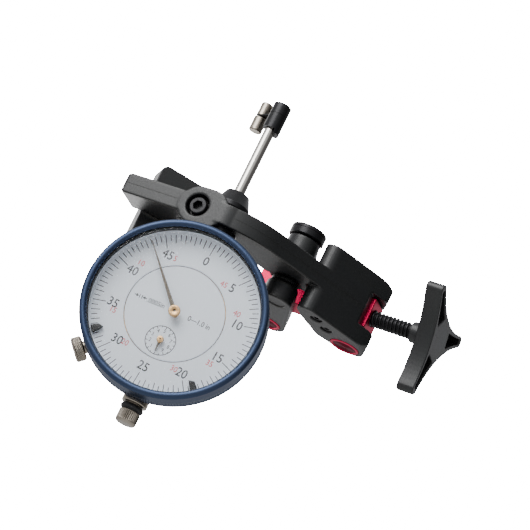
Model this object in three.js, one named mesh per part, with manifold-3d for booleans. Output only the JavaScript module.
// Dial indicator on a clamp base. The indicator hangs by its stem from a cast arm, and the arm ends in
// a pair of jaws that a three-arm knob draws together. Small magnets sit in the jaws' undersides.
// Millimetres. +Z runs up the indicator's stem, +X along the clamp screw to the knob, -Y is the dial side.
import * as THREE from "three";
import { mergeVertices } from "three/addons/utils/BufferGeometryUtils.js";
import Module from "manifold-3d";

const wasm = await Module();
wasm.setup();

// Shared values
const GAP = 0.3;
const RUN = 0.1;
const OVERRUN = 1;
const MERGE = 1e-4;
const INCH = 25.4;
const QUARTER = Math.PI / 2;
const FULL = 2 * Math.PI;
const SIDES = { rim: 42, round: 22, pin: 12, small: 8, hexagon: 6, wire: 4 };
const STEPS = { corner: 3, arc: 5 };

// Arm: a flat bar that runs left from the stem and bends back into the fixed jaw
const ARM = {
  thick: 6.6,
  width: 11.6,
  left: -71.6,
  middle: -42.4,
  bendX: -32.2,
  bendRadius: 20,
  bendDegrees: 54,
  corner: 1,
  edge: 0.5,
};

// Upright plate behind the arm's left end
const PLATE = {
  left: -68,
  right: -56.2,
  topRight: -51,
  top: 13.8,
  topDrop: 3.2,
  bottom: -13,
  bottomRise: 1,
  near: 37.2,
  far: 30.8,
  corner: 2.2,
};

// Stem boss and pinch lug, with the slit that the pinch screw closes
const STEM = {
  x: -38.8,
  y: -41.4,
  radius: INCH * 3 / 16,
  wall: 3.85,
  bore: 2,
};
const LUG = { radius: 6.3, spread: 3.3, proud: 0.9, slit: 0.8, slitPast: 1.2 };
const PINCH = {
  x: -46.1,
  head: 2.8,
  headLength: 3,
  seat: 3.8,
  sink: 0.6,
  shank: 1.8,
  hex: 1.5,
  hexDepth: 2,
  tipCover: 1.2,
};
const SPIGOT = { radius: 3.8, bore: 3.1, height: 2 };
const COLLAR = { bottom: 5.3, top: 3.7, height: 6.9, shoulder: 2.2, bore: 3.1 };

// Fixed jaw, with the notch that is open towards the knob
const BLOCK = {
  half: 11.1,
  left: -13.4,
  right: 4.8,
  back: 7,
  toeX: 0.2,
  heelX: -5.6,
  cheekY: -1.5,
  frontCorner: 4.6,
  toeCorner: 4,
  heelCorner: 4.6,
  cheekCorner: 1.5,
  noseCorner: 0.8,
  lipCorner: 3,
  lipInner: 1.4,
};
const NOTCH = { x: 0, half: 5.4, corner: 0.4 };

// Drawbar, its cross pin in the swinging jaw and the abutment pin in the fixed jaw
const BAR = { width: 9, height: 9.8, left: -37.5, right: 0, wall: 4.2, edge: 0.6 };
const STROKE = { open: 0.8, close: 6 };
const BAR_PIN = { x: -32, radius: 1.8, bottom: -7.4, top: 9.4 };
const ABUTMENT = { x: -7.4, radius: 2, bottom: -8, top: 9.6 };

// Swinging jaw and the pivot that it turns on
const PIVOT = { x: -22.8, y: -18, radius: 3, lug: 5.5, end: 5, boss: 4.4 };
const JAW = { toeX: -32, toeY: 3, toe: 6.3, top: 10.6, ear: 5.2, bridge: 6.4, slotPlay: 0.5 };
const PIVOT_HEAD = { radius: 5.65, height: 3.5, groove: 0.35, grooveAt: 1.1, grooveWide: 0.5, chamfer: 0.6 };

// Magnets in their cups
const CUP = { radius: 4.7, height: 2.7, proud: 0.2, face: 0.8, wall: 0.8 };
const FIXED_CUP = { x: -4.2, y: 1.5 };
const JAW_SCREW = { head: 1.7, headLength: 1, sink: 0.5, shank: 0.9, length: 4.4, slot: 0.5, slotDepth: 0.5 };
const JAW_SCREW_PLACES = { frontX: -9.7, frontY: -14.8, rearX: -8, rearY: -8.2 };

// Clamp screw and its three-arm knob, along X
const SCREW = { radius: 2.6, hubStart: 14.5 };
const KNOB = {
  hub: 3.3,
  start: 18.2,
  thick: 6,
  tip: 19.6,
  tipRadius: 1.9,
  waist: 6.2,
  edge: 0.5,
  pocketDepth: 1.4,
  rim: 0.95,
  pocketBase: 6.4,
  pocketBaseHalf: 2.6,
  turn: -6,
};

// Indicator: its yaw about the stem, and the dial's centre below the arm's middle
const HEAD = { yaw: 14.7, drop: 34.2 };
const CASE = { radius: 26, wall: 3, back: -8, cover: 1.2, taper: 2.2, taperHeight: 6, front: 4.9 };
const COVER_SCREW = { inset: 2.4, head: 1.8, headLength: 0.7, shank: 0.8, startDegrees: 45 };
const BEZEL = { wall: 1.5, back: 3.1, front: 10.6, round: 1.2, lip: 0.2, lipDrop: 0.9 };
const GASKET = { wall: 0.9, bottom: 6.5, top: 8.9 };
const CRYSTAL = { bottom: 9.2, edge: 0.7, dome: 0.5 };
const DIAL = { split: 15.4, seam: 0.15, bottom: 5.5, thick: 0.6, hole: 1.2 };
const CLIP = { length: 3.3, half: 1.1, bottom: 6.4, thick: 1.1, leftDegrees: 216.3, lowerDegrees: -52.4 };

// Spindle: the measuring rod, with a rack cut along its lower half
const SPINDLE = { radius: 1.7, stroke: INCH, top: 39.6, chamfer: 0.3 };
const GUIDE_PIN = { radius: 0.5, z: -28, reach: 7.3 };
const RAIL = { inner: 2.6, outer: 5.2, half: 1.7, slot: 0.8, end: 1.6, post: 0.8 };
const SPRING = { x: -6.7, coil: 1, wire: 0.2, top: -14.2, turns: 9, steps: 6, post: 0.5, postBack: -1 };

// Gear train. The dial pointer turns once in 0.05 inch of travel, the counter once in an inch.
const RACK = { pitch: INCH / 40, teeth: 16 };
const TRAIN = { module: 0.22, drive: 64, centre: 8, takeUp: 48, takeUpDegrees: 62 };
const COUNTER = { module: 0.26, pinion: 8, wheel: 20, drop: 9.2 };
const TOOTH = { tipShare: 0.11, rootShare: 0.31, addendumShare: 0.7, dedendumShare: 1.2 };
const WHEEL = { bottom: 2.4, thick: 0.6 };
const COUNTER_WHEEL = { bottom: 3.3, thick: 0.5 };
const ARBOR = { radius: 0.5, thin: 0.4 };
const RACK_PINION = { half: 1.6 };
const DECK = { bottom: 4.2, thick: 0.7, pillar: 1.2, pillars: 3 };
const HAIR = { inner: 1, outer: 4.4, turns: 3, steps: 12, ribbon: 0.22, height: 0.5 };

// Pointers and hubs in front of the dial
const POINTER = { length: 23.2, tail: 5, wide: 1.5, tip: 0.25, bottom: 7.9, thick: 0.35, degrees: 131.8 };
const HUB = { radius: 1.8, height: 0.7 };
const MINOR = { length: 3.6, tail: 1.4, wide: 0.7, tip: 0.2, bottom: 6.7, thick: 0.3, degrees: -90, hub: 1, hubHeight: 0.4 };

// Foot of the case: guide stub, black ring and knurled dust cap
const STUB = { radius: 4, length: 2.55, inside: 1, bore: 2.1 };
const RING = { radius: 3.6, height: 2 };
const DUST_CAP = { radius: 3.25, height: 3.9, wall: 0.85, roof: 0.9, round: 0.8 };

// Bezel clamp at the lower left of the case
const CLAMP = {
  degrees: -138,
  depth: 0.2,
  neck: 1.9,
  head: 3.8,
  headLength: 3.3,
  round: 0.6,
  stud: 1,
  studInside: 0.6,
};

// Black cap on the spindle's top, and the knurled screw beside it
const CAP = { radius: 2.7, bottom: 31.5, height: 8.7, chamfer: 0.5, lipDrop: 1.2, seam: 0.15, seamWide: 0.3 };
const TIP_SCREW = {
  x: -5.4,
  y: 6.6,
  radius: 1.9,
  polished: 1.75,
  bottom: 32,
  knurled: 4.6,
  length: 9.6,
  slot: 0.45,
  slotDepth: 2.4,
};
const TIP_ARM = { thick: 1.4, half: 1.3, eye: 1.6, post: 0.8, z: 37.4 };

// Finishes
const FINISHES = {
  blackCast: { color: 0x2b2c2e, roughness: 0.55, metalness: 0.1 },
  blackMetal: { color: 0x1d1e20, roughness: 0.42, metalness: 0.5 },
  redAnodised: { color: 0xb0153c, roughness: 0.35, metalness: 0.8 },
  blueAnodised: { color: 0x3e5f8a, roughness: 0.35, metalness: 0.8 },
  steel: { color: 0xc9c7c2, roughness: 0.2, metalness: 1 },
  nickel: { color: 0xa89f92, roughness: 0.3, metalness: 1 },
  brass: { color: 0xcdb68a, roughness: 0.3, metalness: 1 },
  dial: { color: 0xdfe5ea, roughness: 0.6, metalness: 0 },
  glass: { color: 0xffffff, roughness: 0.05, metalness: 0, transparent: true, opacity: 0.25 },
  magnet: { color: 0x8f9295, roughness: 0.3, metalness: 1 },
};
const materials = Object.fromEntries(
  Object.entries(FINISHES).map(([name, look]) => [name, new THREE.MeshStandardMaterial({ name, ...look })]),
);

// Solids: geometry goes in and comes out, and manifold-3d joins and cuts between
function toManifold(geometry) {
  const bare = geometry.index ? geometry.toNonIndexed() : geometry.clone();
  bare.deleteAttribute("normal");
  bare.deleteAttribute("uv");
  const merged = mergeVertices(bare, MERGE);
  const index = merged.index.array;
  const triVerts = [];
  for (let i = 0; i < index.length; i += 3) {
    const [a, b, c] = index.slice(i, i + 3);
    if (a !== b && b !== c && c !== a) triVerts.push(a, b, c);
  }
  return new wasm.Manifold(
    new wasm.Mesh({
      numProp: 3,
      vertProperties: merged.attributes.position.array,
      triVerts: new Uint32Array(triVerts),
    }),
  );
}

function toGeometry(manifold) {
  const { vertProperties, triVerts } = manifold.getMesh();
  const geometry = new THREE.BufferGeometry();
  geometry.setAttribute("position", new THREE.BufferAttribute(new Float32Array(vertProperties), 3));
  geometry.setIndex(new THREE.BufferAttribute(new Uint32Array(triVerts), 1));
  const flat = geometry.toNonIndexed();
  flat.computeVertexNormals();
  return flat;
}

function joined(...geometries) {
  return toGeometry(geometries.map(toManifold).reduce((whole, next) => whole.add(next)));
}

function cut(geometry, ...cutters) {
  return toGeometry(cutters.map(toManifold).reduce((whole, next) => whole.subtract(next), toManifold(geometry)));
}

function common(a, b) {
  return toGeometry(toManifold(a).intersect(toManifold(b)));
}

// A piece turned about Z from [radius, z] pairs that climb its outer side
function turned(profile, sides = SIDES.round) {
  const points = profile.map(([radius, z]) => new THREE.Vector2(radius, z));
  return new THREE.LatheGeometry(points, sides).rotateX(QUARTER);
}

function rod(radius, bottom, top, sides = SIDES.round) {
  return turned([[0, bottom], [radius, bottom], [radius, top], [0, top]], sides);
}

function tube(outer, inner, bottom, top, sides = SIDES.round) {
  return turned([[inner, bottom], [outer, bottom], [outer, top], [inner, top], [inner, bottom]], sides);
}

function box(xs, ys, zs) {
  const size = [xs, ys, zs].map(([low, high]) => high - low);
  const middle = [xs, ys, zs].map(([low, high]) => (high + low) / 2);
  return new THREE.BoxGeometry(...size).translate(...middle);
}

// An outline from [x, y, radius] corners, each rounded by its own arc
function rounded(corners) {
  const shape = new THREE.Shape();
  corners.forEach(([x, y, radius = 0], i) => {
    const here = new THREE.Vector2(x, y);
    const before = new THREE.Vector2(...corners.at(i - 1)).sub(here);
    const after = new THREE.Vector2(...corners[(i + 1) % corners.length]).sub(here);
    const half = Math.acos(before.dot(after) / before.length() / after.length()) / 2;
    const back = radius / Math.tan(half);
    before.normalize();
    after.normalize();
    const steps = radius > 0 ? STEPS.corner : 0;
    const centre = before.clone().add(after).normalize().multiplyScalar(radius / Math.sin(half)).add(here);
    const from = before.clone().multiplyScalar(back).add(here).sub(centre);
    const to = after.clone().multiplyScalar(back).add(here).sub(centre);
    const sweep = Math.atan2(from.cross(to), from.dot(to));
    for (let k = 0; k <= steps; k += 1) {
      const turn = steps ? (sweep * k) / steps : 0;
      const point = steps ? from.clone().rotateAround(new THREE.Vector2(), turn).add(centre) : here;
      if (i === 0 && k === 0) shape.moveTo(point.x, point.y);
      else shape.lineTo(point.x, point.y);
    }
  });
  return shape;
}

// The outline that wraps two circles
function wrapped(ax, ay, aRadius, bx, by, bRadius) {
  const way = Math.atan2(by - ay, bx - ax);
  const lean = Math.acos((aRadius - bRadius) / Math.hypot(bx - ax, by - ay));
  const shape = new THREE.Shape();
  shape.absarc(ax, ay, aRadius, way + lean, way - lean + FULL, false);
  shape.absarc(bx, by, bRadius, way - lean, way + lean, false);
  return shape;
}

function extruded(shape, bottom, top, edge = 0) {
  const bevel = { bevelThickness: edge, bevelSize: edge, bevelOffset: -edge, bevelSegments: 1 };
  const depth = top - bottom - 2 * edge;
  const geometry = new THREE.ExtrudeGeometry(shape, {
    depth,
    bevelEnabled: edge > 0,
    curveSegments: STEPS.arc,
    ...bevel,
  });
  return geometry.translate(0, 0, bottom + edge);
}

// Turns a solid drawn in plan to stand upright: its height becomes its distance towards the dial side
function upright(geometry) {
  return geometry.rotateX(QUARTER);
}

function degrees(value) {
  return THREE.MathUtils.degToRad(value);
}

// Pointed teeth with straight flanks, thinner than the gaps that they run in
function gearShape(teeth, module_, phase = 0, hole = 0) {
  const pitch = FULL / teeth;
  const radius = (teeth * module_) / 2;
  const tip = radius + TOOTH.addendumShare * module_;
  const root = radius - TOOTH.dedendumShare * module_;
  const points = [];
  for (let i = 0; i < teeth; i += 1) {
    const middle = phase + i * pitch;
    const corners = [
      [root, -TOOTH.rootShare],
      [tip, 0],
      [root, TOOTH.rootShare],
    ];
    for (const [reach, share] of corners) {
      const angle = middle + share * pitch;
      points.push(new THREE.Vector2(reach * Math.cos(angle), reach * Math.sin(angle)));
    }
  }
  const shape = new THREE.Shape(points);
  if (hole) shape.holes.push(new THREE.Path().absarc(0, 0, hole, 0, FULL, true));
  return shape;
}

// The phase that puts one gear's gap where its neighbour's tooth is, on the line between their centres
function meshedPhase(way, phase, teeth, otherTeeth) {
  const pitch = FULL / teeth;
  const offset = phase - way - pitch * Math.round((phase - way) / pitch);
  return way + Math.PI - (offset * teeth) / otherTeeth + Math.PI / otherTeeth;
}

// Groups: the stand at its origin, the head on the stem's axis and the face looking out along the dial
const stand = new THREE.Group();
const head = new THREE.Group();
const face = new THREE.Group();
stand.position.set(-FIXED_CUP.x, -FIXED_CUP.y, BLOCK.half + CUP.proud);
head.position.set(STEM.x, STEM.y, 0);
head.rotation.z = degrees(HEAD.yaw);
face.position.z = -HEAD.drop;
face.rotation.x = QUARTER;
stand.add(head);
head.add(face);

function piece(group, name, geometry, finish) {
  const mesh = new THREE.Mesh(geometry, materials[finish]);
  mesh.name = name;
  group.add(mesh);
  return mesh;
}

// Radii of the bezel and what it carries, from the case outwards and back in
const bezelBore = CASE.radius + GAP;
const bezelRadius = bezelBore + BEZEL.wall;
const gasketInner = bezelBore - GAP - GASKET.wall;
const windowRadius = bezelBore - GAP - RUN;
const bezelTop = -HEAD.drop + bezelRadius;

// Arm and fixed jaw: one casting
const bend = degrees(ARM.bendDegrees);
const armHalf = ARM.thick / 2;
const sideHalf = ARM.width / 2;
const cornerShift = sideHalf * Math.tan(bend / 2);
const frontCorner = { x: ARM.bendX + cornerShift, y: ARM.middle - sideHalf };
const armFront = -frontCorner.y;

function frontY(x) {
  return frontCorner.y + (x - frontCorner.x) * Math.tan(bend);
}

function armBar() {
  const acrossX = sideHalf * Math.sin(bend);
  const acrossY = sideHalf * Math.cos(bend);
  const endX = NOTCH.x - OVERRUN - acrossX;
  const endY = ARM.middle + (endX - ARM.bendX) * Math.tan(bend);
  const plan = rounded([
    [ARM.left, ARM.middle - sideHalf, ARM.corner],
    [frontCorner.x, frontCorner.y, ARM.bendRadius + sideHalf],
    [endX + acrossX, endY - acrossY],
    [endX - acrossX, endY + acrossY],
    [ARM.bendX - cornerShift, ARM.middle + sideHalf, ARM.bendRadius - sideHalf],
    [ARM.left, ARM.middle + sideHalf, ARM.corner],
  ]);
  return extruded(plan, -armHalf, armHalf, ARM.edge);
}

function jawBlock() {
  const plan = rounded([
    [BLOCK.left, frontY(BLOCK.left), BLOCK.frontCorner],
    [BLOCK.right, frontY(BLOCK.right), BLOCK.noseCorner],
    [BLOCK.toeX, BLOCK.back, BLOCK.toeCorner],
    [BLOCK.heelX, BLOCK.back, BLOCK.heelCorner],
    [BLOCK.left, BLOCK.cheekY, BLOCK.cheekCorner],
  ]);
  const side = rounded([
    [BLOCK.left - OVERRUN, -BLOCK.half],
    [BLOCK.right, -BLOCK.half, BLOCK.lipCorner],
    [BLOCK.right, -NOTCH.half, BLOCK.lipInner],
    [NOTCH.x, -NOTCH.half, NOTCH.corner],
    [NOTCH.x, NOTCH.half, NOTCH.corner],
    [BLOCK.right, NOTCH.half, BLOCK.lipInner],
    [BLOCK.right, BLOCK.half, BLOCK.lipCorner],
    [BLOCK.left - OVERRUN, BLOCK.half],
  ]);
  const depth = -frontY(BLOCK.left) + OVERRUN;
  const wide = upright(extruded(side, -BLOCK.back - OVERRUN, depth));
  return common(extruded(plan, -BLOCK.half, BLOCK.half, ARM.edge), wide);
}

function uprightPlate() {
  const outline = rounded([
    [PLATE.left, PLATE.top, PLATE.corner],
    [PLATE.left, PLATE.bottom, PLATE.corner],
    [PLATE.right, PLATE.bottom + PLATE.bottomRise, PLATE.corner],
    [PLATE.right, 0],
    [PLATE.topRight, 0],
    [PLATE.topRight, PLATE.top - PLATE.topDrop, ARM.corner],
  ]);
  return upright(extruded(outline, PLATE.far, PLATE.near, ARM.edge));
}

function armFrame() {
  const stemBoss = STEM.radius + STEM.wall;
  const lug = wrapped(PINCH.x, 0, LUG.radius, PINCH.x + LUG.spread, 0, LUG.radius);
  const lugBack = armFront - ARM.width;
  const solid = joined(
    armBar(),
    jawBlock(),
    uprightPlate(),
    rod(stemBoss, -armHalf, armHalf).translate(STEM.x, -armFront + stemBoss, 0),
    upright(extruded(lug, lugBack, armFront + LUG.proud, ARM.edge)),
    rod(PIVOT.lug, -armHalf, armHalf).translate(PIVOT.x, PIVOT.y, 0),
  );
  const lugRight = PINCH.x + LUG.spread + LUG.radius;
  const underLug = box(
    [PINCH.x - LUG.radius - OVERRUN, lugRight + OVERRUN],
    [-armFront - LUG.proud - OVERRUN, OVERRUN - lugBack],
    [-LUG.radius - OVERRUN, bezelTop + GAP],
  );
  const seatDepth = armFront + LUG.proud - PINCH.headLength - PINCH.sink;
  const slitLeft = PINCH.x - LUG.radius - LUG.slitPast;
  const slotY = BAR.width / 2 + GAP;
  const slotZ = BAR.height / 2 + GAP;
  const cupTop = -BLOCK.half - CUP.proud + CUP.height + GAP;
  const screwSeat = -BLOCK.half + JAW_SCREW.sink + JAW_SCREW.headLength;
  return cut(
    solid,
    underLug,
    rod(STEM.radius + RUN, -LUG.radius - OVERRUN, LUG.radius + OVERRUN).translate(STEM.x, STEM.y, 0),
    rod(COLLAR.bottom + GAP, armHalf, LUG.radius + OVERRUN).translate(STEM.x, STEM.y, 0),
    box(
      [slitLeft, STEM.x],
      [STEM.y - LUG.slit / 2, STEM.y + LUG.slit / 2],
      [-LUG.radius - OVERRUN, LUG.radius + OVERRUN],
    ),
    upright(rod(PINCH.seat, seatDepth, armFront + LUG.proud + OVERRUN)).translate(PINCH.x, 0, 0),
    upright(rod(PINCH.shank + GAP, lugBack + PINCH.tipCover, seatDepth + OVERRUN, SIDES.pin)).translate(PINCH.x, 0, 0),
    box([BLOCK.left - OVERRUN, NOTCH.x + OVERRUN], [-slotY, slotY], [-slotZ, slotZ]),
    rod(PIVOT.radius + RUN, -armHalf - OVERRUN, armHalf + OVERRUN).translate(PIVOT.x, PIVOT.y, 0),
    rod(ABUTMENT.radius + RUN, ABUTMENT.bottom - GAP, BLOCK.half + OVERRUN, SIDES.pin).translate(ABUTMENT.x, 0, 0),
    rod(CUP.radius + RUN, -BLOCK.half - OVERRUN, cupTop).translate(FIXED_CUP.x, FIXED_CUP.y, 0),
    ...jawScrewPlaces().flatMap(([x, y]) => [
      rod(JAW_SCREW.head + GAP, -BLOCK.half - OVERRUN, screwSeat + GAP, SIDES.pin).translate(x, y, 0),
      rod(JAW_SCREW.shank + RUN, -BLOCK.half, -BLOCK.half + JAW_SCREW.length + GAP, SIDES.pin).translate(x, y, 0),
    ]),
  );
}

function jawScrewPlaces() {
  return [
    [JAW_SCREW_PLACES.frontX, JAW_SCREW_PLACES.frontY],
    [JAW_SCREW_PLACES.rearX, JAW_SCREW_PLACES.rearY],
  ];
}

function jawScrew(x, y) {
  const bottom = -BLOCK.half + JAW_SCREW.sink;
  const shoulder = bottom + JAW_SCREW.headLength;
  const body = turned(
    [
      [0, bottom],
      [JAW_SCREW.head, bottom],
      [JAW_SCREW.head, shoulder],
      [JAW_SCREW.shank, shoulder],
      [JAW_SCREW.shank, -BLOCK.half + JAW_SCREW.length],
      [0, -BLOCK.half + JAW_SCREW.length],
    ],
    SIDES.small,
  );
  const slot = box(
    [-JAW_SCREW.head - OVERRUN, JAW_SCREW.head + OVERRUN],
    [-JAW_SCREW.slot / 2, JAW_SCREW.slot / 2],
    [bottom - OVERRUN, bottom + JAW_SCREW.slotDepth],
  );
  return cut(body, slot).translate(x, y, 0);
}

piece(stand, "arm_frame", armFrame(), "blackCast");
jawScrewPlaces().forEach(([x, y], i) => piece(stand, ["jaw_screw_front", "jaw_screw_rear"][i], jawScrew(x, y), "blackMetal"));

// Pinch screw: a socket head sunk in the lug
function pinchScrew() {
  const headFront = armFront + LUG.proud - PINCH.sink;
  const seat = headFront - PINCH.headLength + GAP;
  const tip = armFront - ARM.width + PINCH.tipCover + GAP;
  const body = turned([[0, tip], [PINCH.shank, tip], [PINCH.shank, seat], [PINCH.head, seat], [PINCH.head, headFront], [0, headFront]], SIDES.pin);
  const socket = rod(PINCH.hex, headFront - PINCH.hexDepth, headFront + OVERRUN, SIDES.hexagon);
  return upright(cut(body, socket)).translate(PINCH.x, 0, 0);
}
piece(stand, "pinch_screw", pinchScrew(), "blackMetal");

// Pivot pin with its grooved head, above the swinging jaw
function pivotPin() {
  const seat = JAW.top + GAP;
  const top = seat + PIVOT_HEAD.height;
  const groove = seat + PIVOT_HEAD.grooveAt;
  const inset = PIVOT_HEAD.radius - PIVOT_HEAD.groove;
  return turned([
    [0, -BLOCK.half + GAP],
    [PIVOT.radius, -BLOCK.half + GAP],
    [PIVOT.radius, seat],
    [PIVOT_HEAD.radius, seat],
    [PIVOT_HEAD.radius, groove],
    [inset, groove],
    [inset, groove + PIVOT_HEAD.grooveWide],
    [PIVOT_HEAD.radius, groove + PIVOT_HEAD.grooveWide],
    [PIVOT_HEAD.radius, top - PIVOT_HEAD.chamfer],
    [PIVOT_HEAD.radius - PIVOT_HEAD.chamfer, top],
    [0, top],
  ]).translate(PIVOT.x, PIVOT.y, 0);
}
piece(stand, "pivot_pin", pivotPin(), "blackMetal");
piece(stand, "abutment_pin", rod(ABUTMENT.radius, ABUTMENT.bottom, ABUTMENT.top, SIDES.pin).translate(ABUTMENT.x, 0, 0), "steel");

// Swinging jaw: two ears that straddle the arm and the drawbar, bridged behind it
function swingJaw() {
  const plan = wrapped(PIVOT.x, PIVOT.y, PIVOT.end, JAW.toeX, JAW.toeY, JAW.toe);
  const earGap = armHalf + GAP;
  const lever = -PIVOT.y;
  const swing = STROKE.close / lever;
  const swingOpen = STROKE.open / lever;
  const arm = BAR_PIN.x - PIVOT.x;
  const slotFront = -arm * swing - (lever * swing * swing) / 2;
  const slotBack = -arm * swingOpen;
  const pinRoom = BAR_PIN.radius + GAP;
  const ends = [BAR_PIN.bottom - GAP, JAW.top + OVERRUN];
  const cupTop = -BLOCK.half - CUP.proud + CUP.height + GAP;
  const body = joined(
    cut(
      extruded(plan, -BLOCK.half, JAW.top, ARM.edge),
      box([JAW.toeX - BAR.width, BLOCK.left], [PIVOT.y - BAR.width, JAW.bridge], [-JAW.ear, JAW.ear]),
    ),
    rod(PIVOT.boss, earGap, JAW.ear + OVERRUN).translate(PIVOT.x, PIVOT.y, 0),
    rod(PIVOT.boss, -JAW.ear - OVERRUN, -earGap).translate(PIVOT.x, PIVOT.y, 0),
  );
  return cut(
    body,
    rod(PIVOT.radius + RUN, -BLOCK.half - OVERRUN, JAW.top + OVERRUN).translate(PIVOT.x, PIVOT.y, 0),
    box([BAR_PIN.x - pinRoom, BAR_PIN.x + pinRoom + JAW.slotPlay], [-pinRoom - slotFront, pinRoom + slotBack], ends),
    rod(CUP.radius + RUN, -BLOCK.half - OVERRUN, cupTop).translate(JAW.toeX, JAW.toeY, 0),
  );
}
piece(stand, "swing_jaw", swingJaw(), "blackCast");

// A magnet in its cup, face down
function magnetCup() {
  const bottom = -BLOCK.half - CUP.proud;
  const inner = CUP.radius - CUP.wall;
  return turned([
    [0, bottom],
    [CUP.radius, bottom],
    [CUP.radius, bottom + CUP.height],
    [inner, bottom + CUP.height],
    [inner, bottom + CUP.face],
    [0, bottom + CUP.face],
  ]);
}

function magnet() {
  const bottom = -BLOCK.half - CUP.proud;
  return rod(CUP.radius - CUP.wall - RUN, bottom + CUP.face + GAP, bottom + CUP.height);
}
for (const [side, x, y] of [["fixed", FIXED_CUP.x, FIXED_CUP.y], ["swing", JAW.toeX, JAW.toeY]]) {
  piece(stand, `magnet_cup_${side}`, magnetCup().translate(x, y, 0), "redAnodised");
  piece(stand, `magnet_${side}`, magnet().translate(x, y, 0), "magnet");
}

// Drawbar: a square bar with a window for the abutment pin and a threaded end wall
function drawbar() {
  const half = BAR.width / 2;
  const high = BAR.height / 2;
  const section = rounded([
    [-high, -half, BAR.edge],
    [high, -half, BAR.edge],
    [high, half, BAR.edge],
    [-high, half, BAR.edge],
  ]);
  const body = extruded(section, BAR.left, BAR.right).rotateY(QUARTER);
  const windowRight = BAR.right - BAR.wall;
  const windowLeft = ABUTMENT.x - ABUTMENT.radius - GAP - STROKE.close - RUN;
  const windowHalf = SCREW.radius + GAP;
  return cut(
    body,
    box([windowLeft, windowRight], [-windowHalf, windowHalf], [-high - OVERRUN, high + OVERRUN]),
    rod(SCREW.radius + RUN, windowRight - OVERRUN, BAR.right + OVERRUN, SIDES.pin).rotateY(QUARTER),
    rod(BAR_PIN.radius + RUN, -high - OVERRUN, high + OVERRUN, SIDES.pin).translate(BAR_PIN.x, 0, 0),
  );
}
piece(stand, "drawbar", drawbar(), "redAnodised");
piece(stand, "drawbar_pin", rod(BAR_PIN.radius, BAR_PIN.bottom, BAR_PIN.top, SIDES.pin).translate(BAR_PIN.x, 0, 0), "steel");

// Knob: three arms with concave flanks and a pocket in each, on a round hub
function knobOutline() {
  const shape = new THREE.Shape();
  const centre = KNOB.tip - KNOB.tipRadius;
  const control = 2 * KNOB.waist - centre / 2;
  for (let i = 0; i < 3; i += 1) {
    const way = (i * FULL) / 3;
    const x = centre * Math.cos(way);
    const y = centre * Math.sin(way);
    if (i === 0) shape.moveTo(x + KNOB.tipRadius * Math.sin(way), y - KNOB.tipRadius * Math.cos(way));
    shape.absarc(x, y, KNOB.tipRadius, way - QUARTER, way + QUARTER, false);
    const next = ((i + 1) * FULL) / 3;
    const middle = (way + next) / 2;
    shape.quadraticCurveTo(
      control * Math.cos(middle),
      control * Math.sin(middle),
      centre * Math.cos(next) + KNOB.tipRadius * Math.sin(next),
      centre * Math.sin(next) - KNOB.tipRadius * Math.cos(next),
    );
  }
  return shape;
}

function knobPocket(way) {
  const shape = new THREE.Shape();
  const far = KNOB.tip - 2 * KNOB.rim;
  const tip = KNOB.tipRadius - KNOB.rim;
  const bow = (KNOB.pocketBase + far) / 2;
  const bowHalf = (tip + KNOB.pocketBaseHalf) / 2 - KNOB.edge;
  shape.moveTo(KNOB.pocketBase, -KNOB.pocketBaseHalf);
  shape.quadraticCurveTo(bow, -bowHalf, far - tip, -tip);
  shape.absarc(far - tip, 0, tip, -QUARTER, QUARTER, false);
  shape.quadraticCurveTo(bow, bowHalf, KNOB.pocketBase, KNOB.pocketBaseHalf);
  const top = KNOB.start + KNOB.thick;
  return extruded(shape, top - KNOB.pocketDepth, top + OVERRUN).rotateZ(way);
}

function knob() {
  const top = KNOB.start + KNOB.thick;
  const body = joined(
    extruded(knobOutline(), KNOB.start, top, KNOB.edge),
    rod(KNOB.hub, SCREW.hubStart, KNOB.start + OVERRUN, SIDES.pin),
  );
  const bore = rod(SCREW.radius + RUN, SCREW.hubStart - OVERRUN, KNOB.start + KNOB.thick / 2, SIDES.pin);
  const whole = cut(body, bore, ...[0, 1, 2].map((i) => knobPocket((i * FULL) / 3)));
  return whole.rotateZ(degrees(KNOB.turn)).rotateY(QUARTER);
}
piece(stand, "knob", knob(), "blackCast");

const screwTip = ABUTMENT.x + ABUTMENT.radius + GAP;
const screwEnd = KNOB.start + KNOB.thick / 2 - GAP;
piece(stand, "clamp_screw", rod(SCREW.radius, screwTip, screwEnd, SIDES.pin).rotateY(QUARTER), "blackMetal");

// A flat on the front of a piece that leaves the case, so that the bezel turns past it
function bezelFlat() {
  const reach = bezelRadius + GAP;
  return box([-reach, reach], [-reach, GAP - BEZEL.back], [-HEAD.drop - reach, -HEAD.drop + reach]);
}

// Stem: the tube that the arm holds, with a thin spigot for its collar, which the tip cap sinks into
const caseTop = -HEAD.drop + CASE.radius;
const caseBottom = -HEAD.drop - CASE.radius;
const stubBottom = caseBottom - STUB.length;
const ringBottom = stubBottom - GAP - RING.height;
const capBottom = ringBottom - GAP / 2 - DUST_CAP.height;
const capFloor = capBottom + DUST_CAP.roof;
function stem() {
  const low = caseTop - CASE.wall;
  const shoulder = armHalf + GAP;
  const body = turned([
    [STEM.bore, low],
    [STEM.radius, low],
    [STEM.radius, shoulder],
    [SPIGOT.radius, shoulder],
    [SPIGOT.radius, shoulder + SPIGOT.height],
    [SPIGOT.bore, shoulder + SPIGOT.height],
    [SPIGOT.bore, shoulder],
    [STEM.bore, shoulder],
    [STEM.bore, low],
  ]);
  return cut(body, bezelFlat());
}

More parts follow.
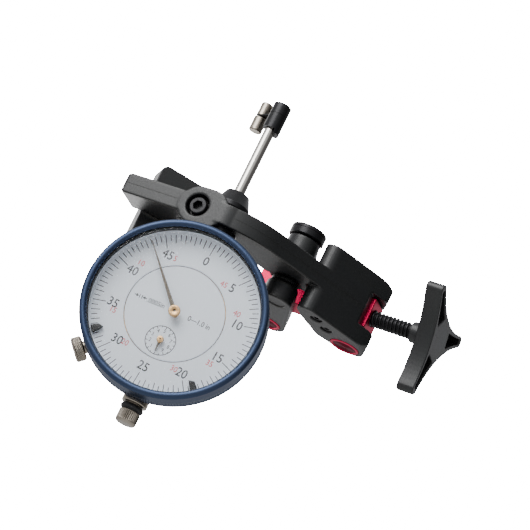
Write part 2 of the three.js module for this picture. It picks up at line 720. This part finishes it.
function stemCollar() {
  const bottom = armHalf + 2 * GAP;
  const top = bottom + COLLAR.height;
  const seat = bottom + SPIGOT.height;
  return turned([
    [SPIGOT.radius + RUN, bottom],
    [COLLAR.bottom, bottom],
    [COLLAR.bottom, bottom + COLLAR.shoulder],
    [COLLAR.top, top],
    [COLLAR.bore, top],
    [COLLAR.bore, seat],
    [SPIGOT.radius + RUN, seat],
    [SPIGOT.radius + RUN, bottom],
  ]);
}
piece(head, "stem", stem(), "steel");
piece(head, "stem_collar", stemCollar(), "blackMetal");

// Case: a ring that tapers to its back, with holes for the stem, the foot and the bezel clamp
const inside = CASE.radius - CASE.wall;
const backRadius = CASE.radius - CASE.taper;
const coverScrewCircle = inside - COVER_SCREW.inset;
const floor = CASE.back + CASE.cover + GAP;
function caseBody() {
  const ring = turned(
    [
      [inside, floor],
      [backRadius, floor],
      [CASE.radius, floor + CASE.taperHeight],
      [CASE.radius, CASE.front],
      [inside, CASE.front],
      [inside, floor],
    ],
    SIDES.rim,
  );
  const up = rod(STEM.radius + RUN, inside - CASE.wall, CASE.radius + OVERRUN, SIDES.round).rotateX(-QUARTER);
  const down = rod(STUB.radius - STUB.inside + RUN, inside - CASE.wall, CASE.radius + OVERRUN, SIDES.pin).rotateX(QUARTER);
  const side = rod(CLAMP.stud + RUN, inside - CASE.wall, CASE.radius + OVERRUN, SIDES.pin)
    .rotateY(QUARTER)
    .rotateZ(degrees(CLAMP.degrees))
    .translate(0, 0, CLAMP.depth);
  return cut(ring, up, down, side);
}

function coverScrewWays() {
  return [0, 1, 2, 3].map((i) => degrees(COVER_SCREW.startDegrees) + i * QUARTER);
}

function caseCover() {
  const plate = turned(
    [
      [0, CASE.back],
      [backRadius - CASE.cover / 2, CASE.back],
      [backRadius, CASE.back + CASE.cover / 2],
      [backRadius, CASE.back + CASE.cover],
      [0, CASE.back + CASE.cover],
    ],
    SIDES.rim,
  );
  const holes = coverScrewWays().map((way) =>
    rod(COVER_SCREW.shank + RUN, CASE.back - OVERRUN, CASE.back + CASE.cover + OVERRUN, SIDES.pin)
      .translate(coverScrewCircle, 0, 0)
      .rotateZ(way),
  );
  return cut(plate, ...holes);
}

function coverScrew(way) {
  const back = CASE.back - GAP - COVER_SCREW.headLength;
  return turned(
    [
      [0, back],
      [COVER_SCREW.head, back],
      [COVER_SCREW.head, CASE.back - GAP],
      [COVER_SCREW.shank, CASE.back - GAP],
      [COVER_SCREW.shank, floor + CASE.cover],
      [0, floor + CASE.cover],
    ],
    SIDES.small,
  )
    .translate(coverScrewCircle, 0, 0)
    .rotateZ(way);
}
piece(face, "case_body", caseBody(), "steel");
piece(face, "case_cover", caseCover(), "steel");
coverScrewWays().forEach((way, i) => piece(face, `cover_screw_${i + 1}`, coverScrew(way), "nickel"));

// Places in the gear train, worked out from the tooth counts
const rackModule = RACK.pitch / Math.PI;
const rackLine = SPINDLE.radius - rackModule * TOOTH.addendumShare - GAP;
const pinionX = rackLine + (RACK.teeth * rackModule) / 2;
const centreDistance = ((TRAIN.drive + TRAIN.centre) * TRAIN.module) / 2;
const pinionY = -Math.sqrt(centreDistance ** 2 - pinionX ** 2);
const counterDistance = ((COUNTER.pinion + COUNTER.wheel) * COUNTER.module) / 2;
const counterX = pinionX - Math.sqrt(counterDistance ** 2 - (pinionY + COUNTER.drop) ** 2);
const takeUpDistance = ((TRAIN.takeUp + TRAIN.centre) * TRAIN.module) / 2;
const takeUpX = takeUpDistance * Math.cos(degrees(TRAIN.takeUpDegrees));
const takeUpY = takeUpDistance * Math.sin(degrees(TRAIN.takeUpDegrees));

// Bezel, gasket, crystal and the outer dial that turn together
function bezel() {
  const lip = bezelBore - BEZEL.lip;
  return turned(
    [
      [bezelBore, BEZEL.back],
      [bezelRadius - BEZEL.round / 2, BEZEL.back],
      [bezelRadius, BEZEL.back + BEZEL.round / 2],
      [bezelRadius, BEZEL.front - 2 * BEZEL.round],
      [bezelRadius - BEZEL.round / 3, BEZEL.front - BEZEL.round / 2],
      [bezelRadius - BEZEL.round, BEZEL.front],
      [lip + BEZEL.round / 3, BEZEL.front - BEZEL.round / 4],
      [lip, BEZEL.front - BEZEL.lipDrop],
      [bezelBore, BEZEL.front - BEZEL.round],
      [bezelBore, BEZEL.back],
    ],
    SIDES.rim,
  );
}

function crystal() {
  const edge = CRYSTAL.bottom + CRYSTAL.edge;
  const domeSteps = [0, 1, 2].map((i) => QUARTER - (i * QUARTER) / 2);
  return turned(
    [
      [0, CRYSTAL.bottom],
      [windowRadius, CRYSTAL.bottom],
      ...domeSteps.map((way) => [windowRadius * Math.sin(way), edge + CRYSTAL.dome * Math.cos(way)]),
    ],
    SIDES.rim,
  );
}
const dialTop = DIAL.bottom + DIAL.thick;
piece(face, "bezel", bezel(), "blueAnodised");
const gasket = tube(bezelBore - GAP, gasketInner, GASKET.bottom, GASKET.top, SIDES.rim);
piece(face, "crystal_gasket", gasket, "blackMetal");
piece(face, "crystal", crystal(), "glass");
const dialRing = tube(windowRadius, DIAL.split + DIAL.seam, DIAL.bottom, dialTop, SIDES.rim);
piece(face, "dial_ring", dialRing, "dial");

// Inner dial, which stays with the case
function dialCentre() {
  const plate = rod(DIAL.split - DIAL.seam, DIAL.bottom, dialTop, SIDES.rim);
  const hole = rod(DIAL.hole, DIAL.bottom - OVERRUN, dialTop + OVERRUN, SIDES.pin);
  return cut(plate, hole, hole.clone().translate(counterX, -COUNTER.drop, 0));
}
piece(face, "dial_centre", dialCentre(), "dial");

// Tolerance clips at the rim of the dial
function clip(way) {
  const outer = gasketInner - GAP;
  const inner = outer - CLIP.length;
  const outline = rounded([
    [inner, 0, 0],
    [inner + CLIP.half, -CLIP.half, 0],
    [outer, -CLIP.half, 0],
    [outer, CLIP.half, 0],
    [inner + CLIP.half, CLIP.half, 0],
  ]);
  return extruded(outline, CLIP.bottom, CLIP.bottom + CLIP.thick).rotateZ(degrees(way));
}
piece(face, "tolerance_clip_left", clip(CLIP.leftDegrees), "blackMetal");
piece(face, "tolerance_clip_lower", clip(CLIP.lowerDegrees), "blackMetal");

// Movement deck: the plate that carries the arbors, on three pillars
function deck() {
  const top = DECK.bottom + DECK.thick;
  const plate = rod(inside - GAP, DECK.bottom, top, SIDES.rim);
  const pillars = Array.from({ length: DECK.pillars }, (_, i) =>
    rod(DECK.pillar, floor + GAP, DECK.bottom + DECK.thick / 2, SIDES.pin)
      .translate(inside - 2 * GAP - DECK.pillar, 0, 0)
      .rotateZ((i * FULL) / DECK.pillars),
  );
  const holes = [
    [0, 0],
    [pinionX, pinionY],
    [counterX, -COUNTER.drop],
    [takeUpX, takeUpY],
  ].map(([x, y]) => rod(ARBOR.radius + RUN, DECK.bottom - OVERRUN, top + OVERRUN, SIDES.small).translate(x, y, 0));
  const springPost = rod(SPRING.post, SPRING.postBack, DECK.bottom + DECK.thick / 2, SIDES.small)
    .translate(SPRING.x, SPRING.top + HEAD.drop + SPRING.wire + SPRING.post, 0);
  return cut(joined(plate, springPost, ...pillars), ...holes);
}
piece(face, "movement_deck", deck(), "brass");

// Spindle: rack teeth on its right side, from the pushed limit to the free one
function spindle() {
  const bottom = capFloor + GAP + SPINDLE.stroke;
  const body = turned(
    [
      [0, bottom],
      [SPINDLE.radius - SPINDLE.chamfer, bottom],
      [SPINDLE.radius, bottom + SPINDLE.chamfer],
      [SPINDLE.radius, SPINDLE.top],
      [0, SPINDLE.top],
    ],
    SIDES.pin,
  );
  const contact = -HEAD.drop + pinionY;
  const low = bottom + RACK.pitch / 2;
  const count = Math.ceil((contact + SPINDLE.stroke + 2 * RACK.pitch - low) / RACK.pitch);
  const tip = rackLine + TOOTH.addendumShare * rackModule;
  const root = rackLine - TOOTH.dedendumShare * rackModule;
  const firstGap = contact - RACK.pitch * Math.round((contact - low) / RACK.pitch);
  const comb = new THREE.Shape();
  comb.moveTo(SPINDLE.radius + OVERRUN, firstGap - RACK.pitch / 2);
  comb.lineTo(tip, firstGap - RACK.pitch / 2);
  for (let i = 0; i < count; i += 1) {
    const z = firstGap + i * RACK.pitch;
    const mouth = RACK.pitch * (1 / 2 - TOOTH.tipShare);
    const bed = RACK.pitch * (1 / 2 - TOOTH.rootShare);
    comb.lineTo(tip, z - mouth);
    comb.lineTo(root, z - bed);
    comb.lineTo(root, z + bed);
    comb.lineTo(tip, z + mouth);
  }
  const last = firstGap + (count - 1 / 2) * RACK.pitch;
  comb.lineTo(tip, last);
  comb.lineTo(SPINDLE.radius + OVERRUN, last);
  return cut(body, upright(extruded(comb, -SPINDLE.radius - OVERRUN, SPINDLE.radius + OVERRUN)));
}
piece(head, "spindle", spindle(), "steel");

// Guide pin in the spindle, and the rail that keeps the spindle from turning and stops it at both ends
function guidePin() {
  return rod(GUIDE_PIN.radius, SPINDLE.radius + RUN, GUIDE_PIN.reach, SIDES.small).rotateY(-QUARTER).translate(0, 0, GUIDE_PIN.z);
}

function guideRail() {
  const slotTop = GUIDE_PIN.z + GUIDE_PIN.radius + RUN;
  const slotBottom = GUIDE_PIN.z - GUIDE_PIN.radius - SPINDLE.stroke - RUN;
  const low = slotBottom - RAIL.end;
  const high = slotTop + RAIL.end;
  const outer = box([-RAIL.outer, -RAIL.inner], [-RAIL.half, RAIL.half], [low, high]);
  const slot = box([-RAIL.outer - OVERRUN, -RAIL.inner + OVERRUN], [-RAIL.slot, RAIL.slot], [slotBottom, slotTop]);
  const middle = -(RAIL.inner + RAIL.outer) / 2;
  const posts = [low + RAIL.post, high - RAIL.post].map((z) =>
    upright(rod(RAIL.post, RAIL.half - RAIL.post, DECK.bottom - GAP, SIDES.pin)).translate(middle, 0, z),
  );
  return cut(joined(outer, ...posts), slot);
}
piece(head, "spindle_guide_pin", guidePin(), "steel");
piece(head, "guide_rail", guideRail(), "brass");

// Return spring, hooked between the case and the guide pin
function returnSpring() {
  const bottom = GUIDE_PIN.z + GUIDE_PIN.radius + GAP + SPRING.wire;
  const length = SPRING.top - bottom;
  const rings = SPRING.turns * SPRING.steps;
  const positions = [];
  const index = [];
  for (let i = 0; i <= rings; i += 1) {
    const angle = (i / SPRING.steps) * FULL;
    const z = bottom + (length * i) / rings;
    for (let k = 0; k < SIDES.wire; k += 1) {
      const round = (k / SIDES.wire) * FULL;
      const reach = SPRING.coil + SPRING.wire * Math.cos(round);
      positions.push(reach * Math.cos(angle), reach * Math.sin(angle), z + SPRING.wire * Math.sin(round));
    }
  }
  for (let i = 0; i < rings; i += 1) {
    for (let k = 0; k < SIDES.wire; k += 1) {
      const a = i * SIDES.wire + k;
      const b = i * SIDES.wire + ((k + 1) % SIDES.wire);
      index.push(a, a + SIDES.wire, b, b, a + SIDES.wire, b + SIDES.wire);
    }
  }
  const last = rings * SIDES.wire;
  for (let k = 1; k < SIDES.wire - 1; k += 1) {
    index.push(0, k, k + 1);
    index.push(last, last + k + 1, last + k);
  }
  const geometry = new THREE.BufferGeometry();
  geometry.setAttribute("position", new THREE.Float32BufferAttribute(positions, 3));
  geometry.setIndex(index);
  geometry.computeVertexNormals();
  return geometry.translate(SPRING.x, 0, 0);
}
piece(head, "return_spring", returnSpring(), "steel");

// Gears: rack pinion with its counter pinion, drive gear, centre pinion, counter gear and take-up gear
const drivePhase = 0;
const toCentre = Math.atan2(-pinionY, -pinionX);
const toCounter = Math.atan2(-COUNTER.drop - pinionY, counterX - pinionX);
const centrePhase = meshedPhase(toCentre, drivePhase, TRAIN.drive, TRAIN.centre);
const toTakeUp = Math.atan2(takeUpY, takeUpX);
const takeUpPhase = meshedPhase(toTakeUp, centrePhase, TRAIN.centre, TRAIN.takeUp);
const counterPhase = meshedPhase(toCounter, 0, COUNTER.pinion, COUNTER.wheel);
const deckTop = DECK.bottom + DECK.thick;

function rackPinion() {
  return joined(
    extruded(gearShape(RACK.teeth, rackModule, Math.PI), -RACK_PINION.half, RACK_PINION.half),
    rod(ARBOR.radius, -RACK_PINION.half - OVERRUN, deckTop, SIDES.small),
    extruded(
      gearShape(COUNTER.pinion, COUNTER.module),
      COUNTER_WHEEL.bottom - GAP / 2,
      COUNTER_WHEEL.bottom + COUNTER_WHEEL.thick + GAP / 2,
    ),
  ).translate(pinionX, pinionY, 0);
}

function wheel(teeth, phase, { bottom, thick }) {
  return extruded(gearShape(teeth, TRAIN.module, phase, ARBOR.radius + RUN), bottom, bottom + thick);
}
piece(face, "rack_pinion", rackPinion(), "steel");
piece(face, "drive_gear", wheel(TRAIN.drive, drivePhase, WHEEL).translate(pinionX, pinionY, 0), "brass");

function centreArbor() {
  return joined(
    extruded(gearShape(TRAIN.centre, TRAIN.module, centrePhase), WHEEL.bottom - GAP / 2, WHEEL.bottom + WHEEL.thick + GAP / 2),
    rod(ARBOR.radius, WHEEL.bottom - GAP / 2, POINTER.bottom + POINTER.thick + HUB.height / 2, SIDES.small),
  );
}

function counterArbor() {
  const top = MINOR.bottom + MINOR.thick + MINOR.hubHeight / 2;
  return joined(
    extruded(
      gearShape(COUNTER.wheel, COUNTER.module, counterPhase),
      COUNTER_WHEEL.bottom,
      COUNTER_WHEEL.bottom + COUNTER_WHEEL.thick,
    ),
    rod(ARBOR.thin, COUNTER_WHEEL.bottom, top, SIDES.small),
  ).translate(counterX, -COUNTER.drop, 0);
}

function takeUpGear() {
  return joined(
    extruded(gearShape(TRAIN.takeUp, TRAIN.module, takeUpPhase), WHEEL.bottom, WHEEL.bottom + WHEEL.thick),
    rod(ARBOR.radius, WHEEL.bottom, deckTop, SIDES.small),
  ).translate(takeUpX, takeUpY, 0);
}
piece(face, "centre_pinion", centreArbor(), "steel");
piece(face, "counter_gear", counterArbor(), "brass");
piece(face, "take_up_gear", takeUpGear(), "brass");

// Hairspring: a flat spiral over the take-up gear
function hairSpring() {
  const inner = [];
  const outer = [];
  const count = HAIR.turns * HAIR.steps;
  for (let i = 0; i <= count; i += 1) {
    const angle = (i / HAIR.steps) * FULL;
    const radius = HAIR.inner + ((HAIR.outer - HAIR.inner) * i) / count;
    inner.push(new THREE.Vector2(radius * Math.cos(angle), radius * Math.sin(angle)));
    outer.unshift(new THREE.Vector2((radius + HAIR.ribbon) * Math.cos(angle), (radius + HAIR.ribbon) * Math.sin(angle)));
  }
  const bottom = WHEEL.bottom + WHEEL.thick + GAP;
  return extruded(new THREE.Shape([...inner, ...outer]), bottom, bottom + HAIR.height).translate(takeUpX, takeUpY, 0);
}
piece(face, "hair_spring", hairSpring(), "steel");

// Pointers: tapered blades, each pressed on its arbor by a round hub
function pointer({ length, tail, wide, tip, bottom, thick, degrees: way }, bore) {
  const half = wide / 2;
  const outline = new THREE.Shape();
  outline.moveTo(-tail, -half);
  outline.lineTo(half, -half);
  outline.lineTo(length, -tip / 2);
  outline.lineTo(length, tip / 2);
  outline.lineTo(half, half);
  outline.lineTo(-tail, half);
  const blade = joined(extruded(outline, bottom, bottom + thick), rod(half + GAP, bottom, bottom + thick, SIDES.pin));
  return cut(blade, rod(bore + RUN, bottom - OVERRUN, bottom + thick + OVERRUN, SIDES.pin)).rotateZ(degrees(way));
}

function hub(radius, bottom, height, bore) {
  const round = height / 3;
  const depth = height / 2 + RUN;
  return turned(
    [
      [bore + RUN, bottom],
      [radius, bottom],
      [radius, bottom + height - round],
      [radius - round, bottom + height],
      [0, bottom + height],
      [0, bottom + depth],
      [bore + RUN, bottom + depth],
      [bore + RUN, bottom],
    ],
    SIDES.pin,
  );
}
const minorTop = MINOR.bottom + MINOR.thick;
const pointerTop = POINTER.bottom + POINTER.thick;
piece(face, "main_pointer", pointer(POINTER, ARBOR.radius), "blackMetal");
piece(face, "pointer_hub", hub(HUB.radius, pointerTop + GAP / 2, HUB.height, ARBOR.radius), "brass");
const countHand = pointer(MINOR, ARBOR.thin).translate(counterX, -COUNTER.drop, 0);
const countHub = hub(MINOR.hub, minorTop + GAP / 2, MINOR.hubHeight, ARBOR.thin).translate(counterX, -COUNTER.drop, 0);
piece(face, "counter_pointer", countHand, "blackMetal");
piece(face, "counter_hub", countHub, "brass");

// Foot: a stub through the case wall, a black ring round its thread and the dust cap below
function footStub() {
  const neck = STUB.radius - STUB.inside;
  const top = caseBottom + CASE.wall;
  const thread = DUST_CAP.radius - DUST_CAP.wall - RUN;
  const low = ringBottom - DUST_CAP.height / 3;
  const body = turned(
    [
      [STUB.bore, low],
      [thread, low],
      [thread, stubBottom],
      [STUB.radius, stubBottom],
      [STUB.radius, caseBottom - GAP / 2],
      [neck, caseBottom - GAP / 2],
      [neck, top],
      [STUB.bore, top],
      [STUB.bore, low],
    ],
    SIDES.pin,
  );
  return cut(body, bezelFlat());
}

function dustCap() {
  const top = capBottom + DUST_CAP.height;
  const bore = DUST_CAP.radius - DUST_CAP.wall;
  return turned(
    [
      [0, capBottom],
      [DUST_CAP.radius - DUST_CAP.round, capBottom],
      [DUST_CAP.radius, capBottom + DUST_CAP.round],
      [DUST_CAP.radius, top],
      [bore, top],
      [bore, capFloor],
      [0, capFloor],
    ],
    SIDES.pin,
  );
}
piece(head, "foot_stub", footStub(), "nickel");
piece(head, "foot_ring", tube(RING.radius, DUST_CAP.radius - DUST_CAP.wall + RUN, ringBottom, ringBottom + RING.height, SIDES.pin), "blackMetal");
piece(head, "dust_cap", dustCap(), "nickel");

// Bezel clamp: a knurled screw whose neck stands on the case's side
function bezelClamp() {
  const start = CASE.radius + GAP;
  const neckEnd = bezelRadius + GAP;
  const top = neckEnd + CLAMP.headLength;
  const screw = turned(
    [
      [0, inside - CLAMP.studInside],
      [CLAMP.stud, inside - CLAMP.studInside],
      [CLAMP.stud, start],
      [CLAMP.neck, start],
      [CLAMP.neck, neckEnd],
      [CLAMP.head - CLAMP.round, neckEnd],
      [CLAMP.head, neckEnd + CLAMP.round],
      [CLAMP.head, top - CLAMP.round],
      [CLAMP.head - CLAMP.round, top],
      [0, top],
    ],
    SIDES.pin,
  );
  return screw.rotateY(QUARTER).rotateZ(degrees(CLAMP.degrees)).translate(0, 0, CLAMP.depth);
}
piece(face, "bezel_clamp_screw", bezelClamp(), "nickel");

// Tip cap on the spindle, with an arm that carries the knurled screw
function tipCap() {
  const top = CAP.bottom + CAP.height;
  const seam = CAP.bottom + CAP.height / 2;
  const skirt = CAP.bottom - CAP.lipDrop;
  const shell = turned([
    [SPINDLE.radius + RUN, skirt],
    [CAP.radius, skirt],
    [CAP.radius, seam - CAP.seamWide / 2],
    [CAP.radius - CAP.seam, seam],
    [CAP.radius, seam + CAP.seamWide / 2],
    [CAP.radius, top - CAP.chamfer],
    [CAP.radius - CAP.chamfer, top],
    [0, top],
    [0, SPINDLE.top + RUN],
    [SPINDLE.radius + RUN, SPINDLE.top + RUN],
    [SPINDLE.radius + RUN, skirt],
  ]);
  const low = [skirt - OVERRUN, CAP.bottom];
  const wide = CAP.radius + OVERRUN;
  const left = box([-wide, SPINDLE.radius - CAP.seamWide], [-wide, wide], low);
  const reach = Math.hypot(TIP_SCREW.x, TIP_SCREW.y);
  const way = Math.atan2(TIP_SCREW.y, TIP_SCREW.x);
  const arm = wrapped(CAP.radius - TIP_ARM.thick, 0, TIP_ARM.half, reach, 0, TIP_ARM.eye);
  const armBottom = TIP_ARM.z - TIP_ARM.thick / 2;
  const armTop = TIP_ARM.z + TIP_ARM.thick / 2;
  const eye = rod(TIP_ARM.post + RUN, armBottom - OVERRUN, armTop + OVERRUN, SIDES.small);
  const bracket = cut(extruded(arm, armBottom, armTop), eye.translate(reach, 0, 0)).rotateZ(way);
  const clear = rod(SPINDLE.radius + RUN, CAP.bottom, SPINDLE.top);
  return cut(joined(shell, bracket), clear, left);
}

function tipScrew() {
  const split = TIP_SCREW.bottom + TIP_SCREW.knurled;
  const top = TIP_SCREW.bottom + TIP_SCREW.length;
  const body = turned(
    [
      [0, TIP_SCREW.bottom],
      [TIP_SCREW.radius, TIP_SCREW.bottom],
      [TIP_SCREW.radius, split],
      [TIP_SCREW.polished, split],
      [TIP_SCREW.polished, top],
      [0, top],
    ],
    SIDES.pin,
  );
  const slot = box(
    [-TIP_SCREW.radius - OVERRUN, TIP_SCREW.radius + OVERRUN],
    [-TIP_SCREW.slot / 2, TIP_SCREW.slot / 2],
    [top - TIP_SCREW.slotDepth, top + OVERRUN],
  );
  const waist = tube(
    TIP_SCREW.radius + OVERRUN,
    TIP_ARM.post,
    TIP_ARM.z - TIP_ARM.thick / 2 - RUN,
    TIP_ARM.z + TIP_ARM.thick / 2 + RUN,
    SIDES.pin,
  );
  return cut(body, slot, waist).translate(TIP_SCREW.x, TIP_SCREW.y, 0);
}
piece(head, "tip_cap", tipCap(), "blackMetal");
piece(head, "tip_screw", tipScrew(), "nickel");

export default stand;
